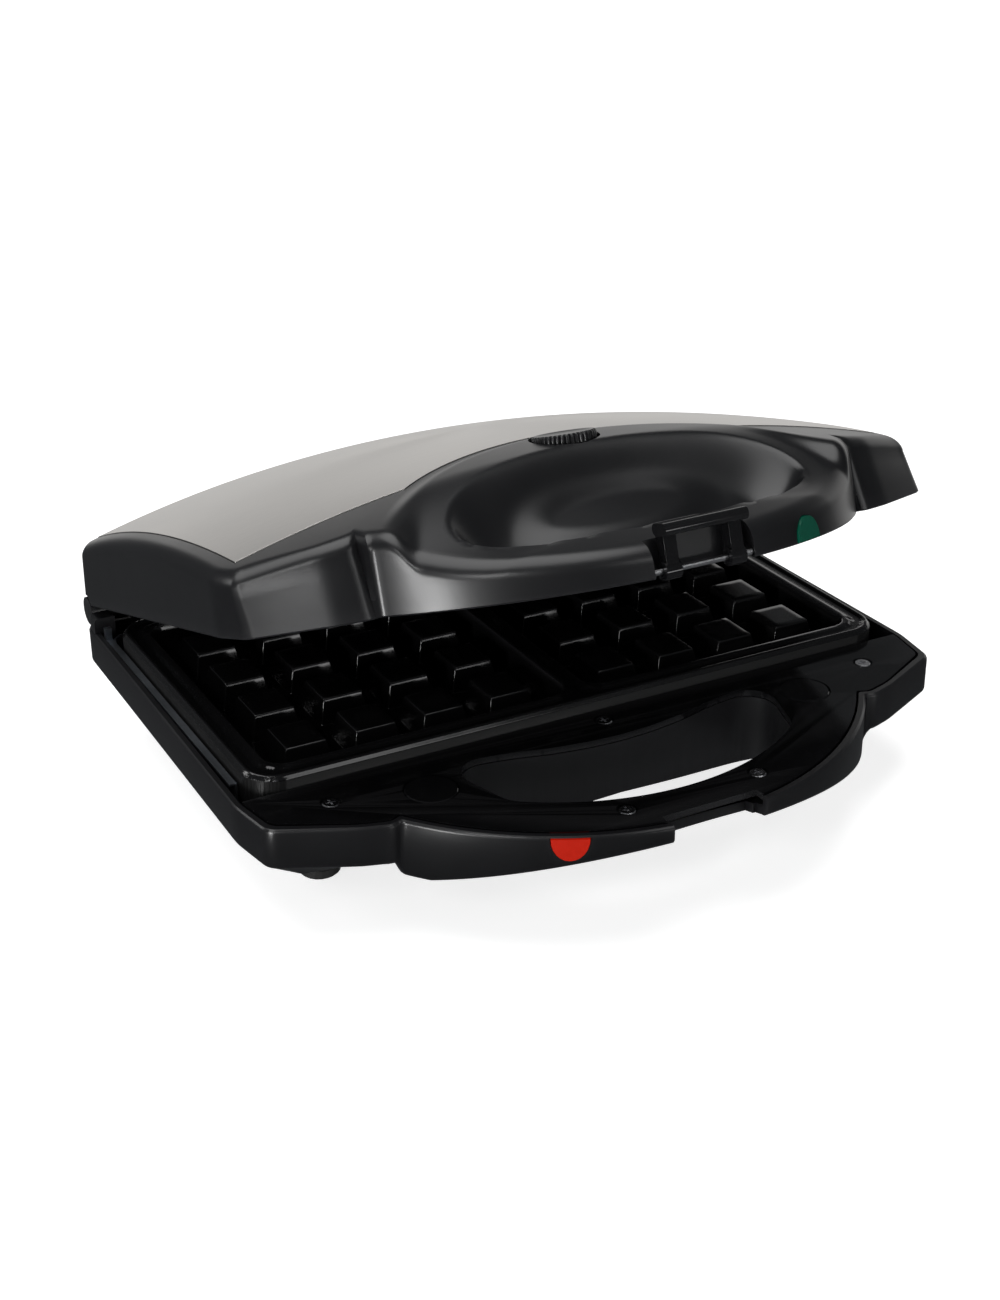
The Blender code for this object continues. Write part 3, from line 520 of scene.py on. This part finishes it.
def base_shell():
    outline = plan(0.0, BASE_REAR_Y)
    neck = both_sides([(0, -62), (70, -66), (114, -58), (121, -50), (121, 98), (110, 107), (0, 107)])
    belly = both_sides([(0, -36), (90, -36), (106, -24), (106, 82), (92, 95), (0, 95)])
    neck = seen_from_centre(neck, outline)
    belly = seen_from_centre(belly, outline)

    def neck_z(x, y):
        return min(underside_z(x, y), 24.0) - 4.0

    floor_ring = raised(belly, FLOOR_Z)
    neck_ring = raised(neck, neck_z)
    rings = [raised(towards_centre(belly, 0.5), FLOOR_Z), raised(towards_centre(belly, 0.985), FLOOR_Z)]
    rings += [between(floor_ring, neck_ring, s) for s in (0.03, 0.25, 0.5, 0.75, 1.0)]
    for step in range(6):
        a = step * pi / 10
        inset, low = 2.6 * (1 - sin(a)), 1.0 + 2.2 * cos(a)
        rings.append(raised(plan(inset, BASE_REAR_Y), lambda x, y: underside_z(x, y) - low + 2.2))
    rings.append(raised(outline, BASE_RIM_Z - 1.2))
    rings.append(raised(plan(0.25, BASE_REAR_Y), BASE_RIM_Z - 0.5))
    rings.append(raised(plan(0.8, BASE_REAR_Y), BASE_RIM_Z))
    shell = ring_body(rings, "base_shell")
    inner = plan(WALL, BASE_REAR_Y)
    hollow = ring_body([
        raised(towards_centre(belly, 0.97), FLOOR_Z + WALL),
        raised(towards_centre(neck, 0.97), lambda x, y: neck_z(x, y) + WALL),
        raised(inner, lambda x, y: underside_z(x, y) + WALL),
        raised(inner, BASE_RIM_Z + 2.0),
    ], "hollow")
    cut(hollow, slab(hand_outline(WALL), 0.0, 39.0, "collar"))
    cut(shell, hollow, slab(hand_outline(0.0), -5.0, 60.0, "hand_hole"))
    for side in (-1, 1):
        ear = cylinder((side * EAR_X, HINGE.y, HINGE.z), KNUCKLE_R, 6.6, "X", "ear")
        join(shell, hinge_shoulder(side), ear)
        low, high = sorted((side * 111.0, side * 119.7))
        cut(shell, box((low, HINGE.y - 8.0, 40.6), (high, HINGE.y + 10.0, 60.0), "room"))
        cut(shell, cylinder((side * 120.0, HINGE.y, HINGE.z), 2.2, 12.0, "X", "pin_room"))
    cut(shell, box((-17.0, -130.0, 20.0), (17.0, -113.8, 60.0), "recess"))
    cut(shell, box((-16.0, -130.0, 20.0), (16.0, -109.7, 39.2), "hook_room"))
    cut(shell, cylinder((CORD_X, BASE_REAR_Y, CORD_Z), 5.3, 20.0, "Y", "cord_hole"))
    cut(shell, lamp_window("room", RED_X, RED_Z, -1, HANDLE_R, GAP, 8.0, 2.0))
    place(shell, "base", SATIN, ["base_housing"])


def lid_lean(x, y):
    if y < SHOULDER_Y + 3.5 and abs(x) < 89.0:
        return 0.4, 0.4
    return 0.8, 0.8 + 6.7 * smooth((y - 96.0) / 8.0) + 6.2 * smooth((-46.0 - y) / 14.0)


def lid_shell():
    upright = plan(LID_INSET, LID_REAR_Y)
    leaning = plan(LID_INSET + 8.0, LID_REAR_Y)
    rounding = 4.5

    def wall_at(z, inward=0.0):
        ring = []
        for (ax, ay), (bx, by) in zip(upright, leaning):
            lean_x, lean_y = lid_lean(ax, ay)
            share = (z - LID_RIM_Z) / 20.0
            x = ax + (bx - ax) * (lean_x * share + inward) / 8.0
            ring.append((x, ay + (by - ay) * (lean_y * share + inward) / 8.0))
        return ring

    brim_z = LID_RIM_Z + 17.0
    foot = raised(wall_at(LID_RIM_Z), LID_RIM_Z + 0.5)
    brim = raised(wall_at(brim_z), lambda x, y: lid_top_z(x, y) - rounding)
    outer = [raised(wall_at(LID_RIM_Z, 0.5), LID_RIM_Z)]
    outer += [between(foot, brim, s) for s in (0.0, 0.25, 0.5, 0.75, 1.0)]
    for step in range(1, 9):
        a = step * pi / 16
        drop = rounding * (1 - sin(a))
        outer.append(raised(wall_at(brim_z, rounding * (1 - cos(a))), lambda x, y: lid_top_z(x, y) - drop))
    top = wall_at(brim_z, rounding)
    outer += [raised(towards_centre(top, 1 - 0.0128 * s), lid_top_z) for s in range(1, 77)]
    inner = [
        raised(wall_at(LID_RIM_Z, WALL), LID_RIM_Z),
        raised(wall_at(brim_z, WALL), lambda x, y: lid_top_z(x, y) - rounding - WALL),
    ]
    inner += [
        raised(towards_centre(top, 1 - 0.06 * s), lambda x, y: lid_top_z(x, y) - WALL) for s in range(1, 16)
    ]
    shell = ring_body(list(reversed(inner)) + outer, "lid_shell")
    for side in (-1, 1):
        middle = side * KNUCKLE_X
        low, high = sorted((middle - 3.4, middle + 3.4))
        join(shell, cylinder((middle, HINGE.y, HINGE.z), KNUCKLE_R, 7.6, "X", "knuckle"))
        join(shell, box((low, HINGE.y - 3.0, HINGE.z), (high, HINGE.y + 4.0, HINGE.z + 13.0), "web"))
        cut(shell, cylinder((middle, HINGE.y, HINGE.z), 2.2, 12.0, "X", "pin_room"))
        cut(shell, cylinder((side * 125.0, HINGE.y, HINGE.z), KNUCKLE_R + 0.8, 10.8, "X", "ear_room"))
    join(shell, box((-19.0, -113.0, LID_RIM_Z + 0.1), (19.0, -110.4, 58.5), "latch_wall"))
    cut(shell, box((-17.6, -130.0, 40.0), (17.6, -112.4, 62.0), "latch_room"))
    cut(shell, cylinder((0, LATCH_Y, LATCH_Z), 1.2, 37.6, "X", "pin_bore"))
    cut(shell, lamp_window("room", GREEN_X, GREEN_Z, 1, HANDLE_R - LID_INSET, GAP, 8.0, 2.0))
    cut(shell, cylinder((DIAL[0], DIAL[1], 86.0), 11.8, 14.0, "Z", "dial_room"))
    cut(shell, inlay_body("bed", GAP, -0.5, 6.0))
    place(shell, "lid", SATIN, ["lid_housing"])


def inlay_body(name, grow, low, high):
    """Sheet on the crown: straight sides and rear, its front cut round the ring; the dial's hole is cut
    afterwards.
    """
    half, rear, front = 119.5 + grow, 104.5 + grow, -46.5 - grow
    step_x, step_y = 80, 50
    bm = bmesh.new()
    layers = []
    for offset in (low, high):
        rows = []
        for j in range(step_y + 1):
            y = front + (rear - front) * j / step_y
            xs = [half * (2 * i / step_x - 1) for i in range(step_x + 1)]
            rows.append([bm.verts.new((x, y, crown_z(x, y) + offset)) for x in xs])
        layers.append(rows)
        for a, b in zip(rows, rows[1:]):
            for i in range(step_x):
                bm.faces.new((a[i], a[i + 1], b[i + 1], b[i]))
    rims = [r[0] + [q[-1] for q in r[1:]] + r[-1][-2::-1] + [q[0] for q in r[-2:0:-1]] for r in layers]
    for i in range(len(rims[0])):
        j = (i + 1) % len(rims[0])
        bm.faces.new((rims[0][i], rims[0][j], rims[1][j], rims[1][i]))
    made = made_object(bm, name)
    cut(made, cylinder((0, RING_Y, 80.0), RING_R + 1.8 - grow, 60.0, "Z", "ring_edge", 400))
    return made


def inlay_sheet():
    sheet = inlay_body("inlay_sheet", 0.0, -0.4, 0.25)
    cut(sheet, cylinder((DIAL[0], DIAL[1], 86.0), 15.5, 20.0, "Z", "dial_edge", 128))
    place(sheet, "lid", INLAY, ["lid_inlay"], soften=0.12)


# ---------------------------------------------------------------- cooking plates

def outside(x, y, half_x, y_low, y_high, radius):
    """Signed distance from a rounded rectangle, negative inside."""
    dx = abs(x) - half_x + radius
    dy = abs(y - (y_low + y_high) / 2) - (y_high - y_low) / 2 + radius
    return hypot(max(dx, 0.0), max(dy, 0.0)) + min(max(dx, dy), 0.0) - radius


def pip_share(offset, half):
    """How much of a pip stands at this distance from its middle: 1 on top, 0 on the floor."""
    u = abs(offset) - half
    return 1 - (eased(u, 0.3) - eased(u - PIP_DRAFT, 0.3)) / PIP_DRAFT


def plate_drop(x, y):
    """How far the plate's face lies under its rim."""
    edge = -outside(x, y, PLATE_HALF_X, PLATE_FRONT_Y, PLATE_REAR_Y, PLATE_CORNER)
    field = -outside(abs(x) - FIELD_X, y, 54.5, -33.5, 86.5, 7.0)
    drop = 1.6 * (1 - smooth(edge / 1.4))
    drop += 0.9 * smooth((edge - 2.2) / 0.9) * (1 - smooth((field + 3.6) / 0.9))
    well = smooth((field + 0.6) / 3.2)
    if well <= 0:
        return drop
    px = max(pip_share(x - c, PIP_HALF[0]) for c in PIP_COLUMNS)
    py = max(pip_share(y - r, PIP_HALF[1]) for r in PIP_ROWS)
    crease = max(PIP_EDGE - abs(px - py), 0.0) ** 2 / (4 * PIP_EDGE)
    return drop * (1 - well) + well * (WELL_DEPTH - PIP_HEIGHT * max(min(px, py) - crease, 0.0))


def lines_between(keys, widest):
    """Sorted grid lines through every key, with the wider gaps filled evenly."""
    keys = sorted(keys)
    kept = [keys[0]]
    for key in keys[1:]:
        room = key - kept[-1]
        if room < 0.12:
            continue
        steps = max(1, int(room / widest) + 1)
        kept += [kept[-1] + room * (k + 1) / steps for k in range(steps)] if steps > 1 else [key]
    return kept


def zone(low, high, step=0.55):
    count = int((high - low) / step)
    return [low + (high - low) * i / count for i in range(count + 1)]


def waffle_face(name, up, body, stands_for):
    """Cast plate: rim with a drip groove, two wells and 32 drafted pips with rounded edges."""
    around = (-0.3, -0.15, 0.0, 0.15, 0.3, 0.65, 1.0, 1.35, 1.7, 2.0, 2.15, 2.3, 2.45, 2.6)
    xs = [s * (PIP_HALF[0] + d) + c for c in PIP_COLUMNS for s in (-1, 1) for d in around]
    ys = [s * (PIP_HALF[1] + d) + r for r in PIP_ROWS for s in (-1, 1) for d in around]
    for side in (-1, 1):
        middle = side * FIELD_X
        xs += zone(middle - 55.4, middle - 46.5) + zone(middle + 46.5, middle + 55.4)
        xs += zone(min(side * 122.3, side * 117.0), max(side * 122.3, side * 117.0), 0.45)
    ys += zone(-34.4, -25.5) + zone(78.4, 87.4) + zone(-42.0, -36.0, 0.45) + zone(89.0, 94.5, 0.45)
    xs = lines_between(xs, 2.6)
    ys = lines_between(ys, 2.6)
    rim = PARTING_Z - up * GAP
    bm = bmesh.new()
    face = [[bm.verts.new((x, y, rim - up * plate_drop(x, y))) for x in xs] for y in ys]
    for a, b in zip(face, face[1:]):
        for i in range(len(xs) - 1):
            corners = (a[i], a[i + 1], b[i + 1], b[i])
            # a bent square is split along its ridge
            bend = up * (corners[0].co.z + corners[2].co.z - corners[1].co.z - corners[3].co.z)
            if abs(bend) < 0.01:
                bm.faces.new(corners)
                continue
            turn = 0 if bend > 0 else 1
            bm.faces.new([corners[(k + turn) % 4] for k in (0, 1, 2)])
            bm.faces.new([corners[(k + turn) % 4] for k in (0, 2, 3)])
    loop = face[0] + [r[-1] for r in face[1:]] + face[-1][-2::-1] + [r[0] for r in face[-2:0:-1]]
    back_z = rim - up * PLATE_DEPTH
    back = [bm.verts.new((v.co.x, v.co.y, back_z)) for v in loop]
    for i in range(len(loop)):
        j = (i + 1) % len(loop)
        bm.faces.new((loop[i], loop[j], back[j], back[i]))
    bm.faces.new(back)
    plate = made_object(bm, name)
    edge = rounded_rectangle(PLATE_HALF_X - 0.01, PLATE_FRONT_Y + 0.01, PLATE_REAR_Y - 0.01, PLATE_CORNER)
    combine(plate, slab(edge, rim - 20.0, rim + 20.0, "edge"), "INTERSECT")
    walls = [side.index for side in plate.data.polygons
             if abs(side.normal.z) < 0.1 and outside(side.center.x / MM, side.center.y / MM, PLATE_HALF_X,
                                                     PLATE_FRONT_Y, PLATE_REAR_Y, PLATE_CORNER) > -0.25]
    place(plate, body, COATED, [stands_for], sharp=50.0)
    plate.data.materials.append(CAST)
    for index in walls:
        plate.data.polygons[index].material_index = 1


# ---------------------------------------------------------------- deck, latch and dial

def deck_cover():
    cover = slab(plan(WALL + 0.8, BASE_REAR_Y), 39.4, 41.6, "deck_cover")
    cut(cover, box((-140, PLATE_FRONT_Y - 0.6, 0.0), (140, 140, 100.0), "rear"))
    for x, y in SCREW_PLACES:
        cut(cover, cylinder((x, y, 41.6), 2.0, 12.0, "Z", "hole", 32))
        cut(cover, cylinder((x, y, 41.6), 3.4, 2.2, "Z", "head_room", 48))
    cut(cover, slab(hand_outline(0.0), 0.0, 90.0, "hand_hole"))
    for x, y in PAD_PLACES:
        cut(cover, cylinder((x, y, 41.6), 9.0, 2.6, "Z", "pad_room", 96))
    cut(cover, box((-17.6, -130.0, 30.0), (17.6, -113.2, 60.0), "recess"))
    place(cover, "base", GLOSS, ["base_panel"], soften=0.45)


def latch():
    """Clip standing up on the lid: two legs on the pin and a hooked bar across them."""
    section = [(LATCH_Y - 2.0 + dx, LATCH_Z + 12.5 + dz) for dx, dz in
               rounded_rectangle(3.9, -1.9, 1.9, 1.7, 6)]
    clip = ring_body([[(x, y, z) for y, z in section] for x in (-14.5, 14.5)], "latch_bar")
    for side in (-1, 1):
        low, high = sorted((side * 9.2, side * 13.6))
        join(clip, box((low, LATCH_Y - 2.2, LATCH_Z - 0.2), (high, LATCH_Y + 2.2, LATCH_Z + 11.6), "leg"))
        join(clip, cylinder((side * 11.4, LATCH_Y, LATCH_Z), 2.9, 5.4, "X", "eye", 48))
    cut(clip, cylinder((0, LATCH_Y, LATCH_Z), 1.25, 60.0, "X", "pin_room", 24))
    place(clip, "latch", GLOSS, ["latch_clip"], soften=0.7)


def dial():
    """Ribbed thumbwheel with a shallow dished top."""
    ribs, steps = 40, 8
    count = ribs * steps

    def ring(radius, z, depth):
        points = []
        for i in range(count):
            a = 2 * pi * i / count
            r = radius - depth * (0.5 + 0.5 * cos(ribs * a)) ** 3
            points.append((DIAL[0] + r * cos(a), DIAL[1] + r * sin(a), z))
        return points

    low, high = DIAL[2] - 2.5, DIAL[2] + 2.5
    rings = [ring(2.8, low - 6.0, 0), ring(2.8, low, 0), ring(9.9, low, 0), ring(10.6, low + 0.5, 0.5)]
    rings += [ring(DIAL_R, low + 1.0, 0.6), ring(DIAL_R, high - 1.0, 0.6), ring(10.6, high - 0.4, 0.5)]
    rings += [ring(10.1, high, 0.2), ring(9.0, high, 0), ring(8.4, high - 0.25, 0), ring(3.0, high - 0.5, 0)]
    place(ring_body(rings, "dial_wheel"), "dial", SATIN, ["thermostat_dial"])


def carried_over():
    """CAD nodes that keep their own shape get the right material, and a softened edge."""
    looks = {
        "bumper_pad": (GLOSS, 0.4), "cord_gland": (RUBBER, 0.3), "foot": (RUBBER, 0.4),
        "green_lamp": (BULB, 0.2), "red_lamp": (BULB, 0.2), "green_lens": (GREEN, 0.35),
        "red_lens": (RED, 0.35), "hinge_pin": (STEEL, 0.2), "latch_pin": (STEEL, 0.15),
        "lid_panel": (SATIN, 0.35), "lid_screw": (STEEL, 0.12), "panel_screw": (STEEL, 0.12),
        "lower_heater": (SHEATH, 0), "upper_heater": (SHEATH, 0), "lower_tray": (SHEET, 0.15),
        "upper_tray": (SHEET, 0.15), "terminal_block": (CERAMIC, 0.3), "thermal_fuse": (CERAMIC, 0.2),
        "thermostat": (CERAMIC, 0.3),
    }
    for name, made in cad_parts.items():
        found = [looks[key] for key in looks if name.startswith(key)]
        if not found:
            continue
        look, soften = found[0]
        made.data.materials.clear()
        made.data.materials.append(look)
        if soften:
            rounded(made, soften, 2, 40.0)


# ---------------------------------------------------------------- stage

def area_light(name, at, towards, size, power, tint=(1.0, 1.0, 1.0)):
    light = bpy.data.lights.new(name, "AREA")
    light.shape = "RECTANGLE"
    light.size, light.size_y = size
    light.energy = power
    light.color = tint
    made = bpy.data.objects.new(name, light)
    made.location = at
    made.rotation_euler = (Vector(towards) - Vector(at)).to_track_quat("-Z", "Y").to_euler()
    bpy.context.scene.collection.objects.link(made)
    return made


def stage():
    world = bpy.data.worlds.new("studio")
    world.use_nodes = True
    world.node_tree.nodes["Background"].inputs[0].default_value = (0.92, 0.96, 1.0, 1.0)
    world.node_tree.nodes["Background"].inputs[1].default_value = 0.08
    bpy.context.scene.world = world

    bm = bmesh.new()
    bmesh.ops.create_grid(bm, x_segments=8, y_segments=8, size=30000.0)
    floor = made_object(bm, "floor")
    paper = bpy.data.materials.new("white_paper")
    paper.use_nodes = True
    shader = paper.node_tree.nodes["Principled BSDF"]
    shader.inputs["Base Color"].default_value = (0.6, 0.6, 0.6, 1.0)
    shader.inputs["Roughness"].default_value = 0.9
    shader.inputs["Specular IOR Level"].default_value = 0.1
    shader.inputs["Emission Color"].default_value = (1.0, 1.0, 1.0, 1.0)
    shader.inputs["Emission Strength"].default_value = 0.78
    floor.data.materials.append(paper)
    floor.visible_glossy = False

    sky = bpy.data.lights.new("softbox", "SUN")
    sky.energy = 2.1
    sky.angle = radians(55)
    above = bpy.data.objects.new("softbox", sky)
    above.rotation_euler = Vector((0.10, -0.22, -1.0)).to_track_quat("-Z", "Y").to_euler()
    bpy.context.scene.collection.objects.link(above)
    area_light("left_front", (-1.40, -0.70, 0.12), (-0.07, -0.08, 0.09), (0.26, 0.5), 14.0)
    area_light("left_high", (-1.0, -0.85, 0.95), (-0.12, -0.06, 0.07), (0.14, 0.35), 3.6)
    area_light("left_rear", (-1.2, 0.85, 0.75), (0.03, -0.05, 0.1), (0.35, 0.5), 2.6)
    area_light("front_high", (0.35, -1.1, 1.0), (0, -0.05, 0.07), (0.5, 0.4), 1.6)
    area_light("front_low", (0.55, -1.6, 0.12), (0, -0.02, 0.05), (0.6, 0.25), 2.4)
    area_light("rear_card", (1.8, 2.2, 0.05), (0, 0, 0.05), (4.7, 2.0), 20.5, (1.0, 0.985, 0.965))

    lens = bpy.data.cameras.new("camera")
    lens.lens = 55.34
    lens.sensor_width = 36.0
    lens.clip_start = 0.02
    camera = bpy.data.objects.new("camera", lens)
    around, up_angle, roll = radians(-28.02), radians(25.5), radians(-0.42)
    right = Vector((cos(around), sin(around), 0))
    back = Vector((sin(around) * cos(up_angle), -cos(around) * cos(up_angle), sin(up_angle)))
    up = back.cross(right)
    x_axis = right * cos(roll) + up * sin(roll)
    y_axis = up * cos(roll) - right * sin(roll)
    turned = Matrix((x_axis, y_axis, back)).transposed().to_4x4()
    camera.matrix_world = Matrix.Translation(Vector((-309.1, -556.7, 350.5)) * MM) @ turned
    bpy.context.scene.collection.objects.link(camera)
    bpy.context.scene.camera = camera
    bpy.context.scene.view_settings.view_transform = "Standard"


base_shell()
deck_cover()
waffle_face("lower_waffle_face", 1, "base", "lower_plate")
lid_shell()
inlay_sheet()
waffle_face("upper_waffle_face", -1, "lid", "upper_plate")
latch()
dial()
carried_over()
stage()
